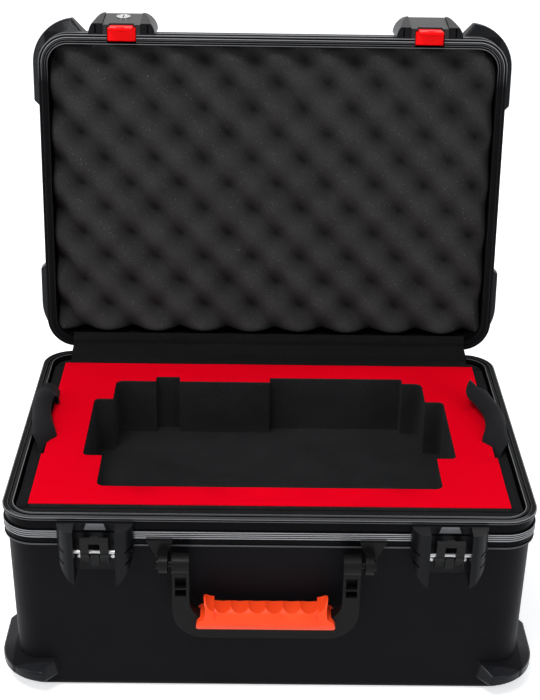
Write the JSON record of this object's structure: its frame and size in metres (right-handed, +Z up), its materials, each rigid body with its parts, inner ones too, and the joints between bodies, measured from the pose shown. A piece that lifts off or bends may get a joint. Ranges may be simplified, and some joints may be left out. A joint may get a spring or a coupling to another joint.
{
  "type": "guitar pedal case",
  "caption": "Moulded black carry case with a hinged lid, corner bumpers, foam lining, a red foam tray cut for a pedal unit, push-release latches and a swinging handle.",
  "frame": {"origin": "centre of the flat underside of the base shell, on the surface it stands on", "axes": "+X to the case's right seen from the front, +Y to the rear hinge, +Z up"},
  "size_m": [0.4608, 0.433, 0.4911],
  "materials": {
    "shell_black": "satin, grained",
    "rim_black": "black anodised, ribbed",
    "hinge_black": "satin",
    "pin_steel": "bright",
    "foam_black": "open-cell foam, matte",
    "foam_grey": "open-cell foam, matte",
    "sheet_red": "fine felt",
    "cover_black": "short plush",
    "webbing_black": "ribbed webbing",
    "latch_black": "satin",
    "tab_grey": "matte",
    "claw_black": "satin",
    "trigger_red": "gloss",
    "chrome": "polished",
    "handle_black": "satin",
    "grip_orange": "satin"
  },
  "bodies": {
    "base": {"base_shell": "shell_black", "base_rim": "rim_black", "base_hinge_leaf": "hinge_black", "hinge_pin": "pin_steel", "base_hinge_rivets": "pin_steel", "floor_foam": "foam_black", "front_lining_foam": "foam_black", "back_lining_foam": "foam_black", "left_lining_foam": "foam_black", "right_lining_foam": "foam_black", "support_foam": "foam_black", "hinge_cover": "cover_black", "left_base_latch_housing": "latch_black", "left_strike_tab": "tab_grey", "left_claw_axle": "chrome", "left_base_latch_rivets": "pin_steel", "left_handle_bracket": "handle_black", "left_handle_pin": "handle_black", "right_base_latch_housing": "latch_black", "right_strike_tab": "tab_grey", "right_claw_axle": "chrome", "right_base_latch_rivets": "pin_steel", "right_handle_bracket": "handle_black", "right_handle_pin": "handle_black"},
    "lid": {"lid_shell": "shell_black", "lid_rim": "rim_black", "lid_hinge_leaf": "hinge_black", "lid_hinge_rivets": "pin_steel", "lid_foam": "foam_grey", "lock_ring": "chrome", "left_lid_latch_housing": "latch_black", "left_lid_latch_plate": "latch_black", "right_lid_latch_housing": "latch_black", "right_lid_latch_plate": "latch_black"},
    "claw_left": {"left_claw": "claw_black", "left_claw_roller": "chrome"},
    "claw_right": {"right_claw": "claw_black", "right_claw_roller": "chrome"},
    "trigger_left": {"left_trigger": "trigger_red"},
    "trigger_right": {"right_trigger": "trigger_red"},
    "lock": {"lock_cylinder": "chrome"},
    "tray": {"tray_foam": "foam_grey", "tray_top_sheet": "sheet_red", "left_pull_strap": "webbing_black", "right_pull_strap": "webbing_black"},
    "handle": {"handle_bail": "handle_black", "handle_grip": "grip_orange"}
  },
  "joints": [
    {"name": "lid_hinge", "type": "hinge", "parent": "base", "child": "lid", "pos_m": [0, 0.15875, 0.1691], "axis": [-1, 0, 0], "range_deg": [-96.28, 0], "deforming": ["hinge_cover"]},
    {"name": "handle_swing", "type": "hinge", "parent": "base", "child": "handle", "pos_m": [0, -0.165, 0.1388], "axis": [-1, 0, 0], "range_deg": [0, 95]},
    {"name": "tray_lift", "type": "slide", "parent": "base", "child": "tray", "axis": [0, 0, 1], "range_m": [0, 0.15]},
    {"name": "claw_left_swing", "type": "hinge", "parent": "base", "child": "claw_left", "pos_m": [-0.1413, -0.1625, 0.1476], "axis": [1, 0, 0], "range_deg": [-12, 0]},
    {"name": "trigger_left_push", "type": "slide", "parent": "lid", "child": "trigger_left", "axis": [0, -0.1094, -0.994], "range_m": [0, 0.002], "stiffness_N_per_m": 600, "springref_m": -0.001},
    {"name": "claw_right_swing", "type": "hinge", "parent": "base", "child": "claw_right", "pos_m": [0.1457, -0.1625, 0.1476], "axis": [1, 0, 0], "range_deg": [-12, 0]},
    {"name": "trigger_right_push", "type": "slide", "parent": "lid", "child": "trigger_right", "axis": [0, -0.1094, -0.994], "range_m": [0, 0.002], "stiffness_N_per_m": 600, "springref_m": -0.001},
    {"name": "lock_turn", "type": "hinge", "parent": "lid", "child": "lock", "pos_m": [-0.1413, 0.22484, 0.48899], "axis": [0, -0.0355, 0.9994], "range_deg": [0, 90]}
  ]
}
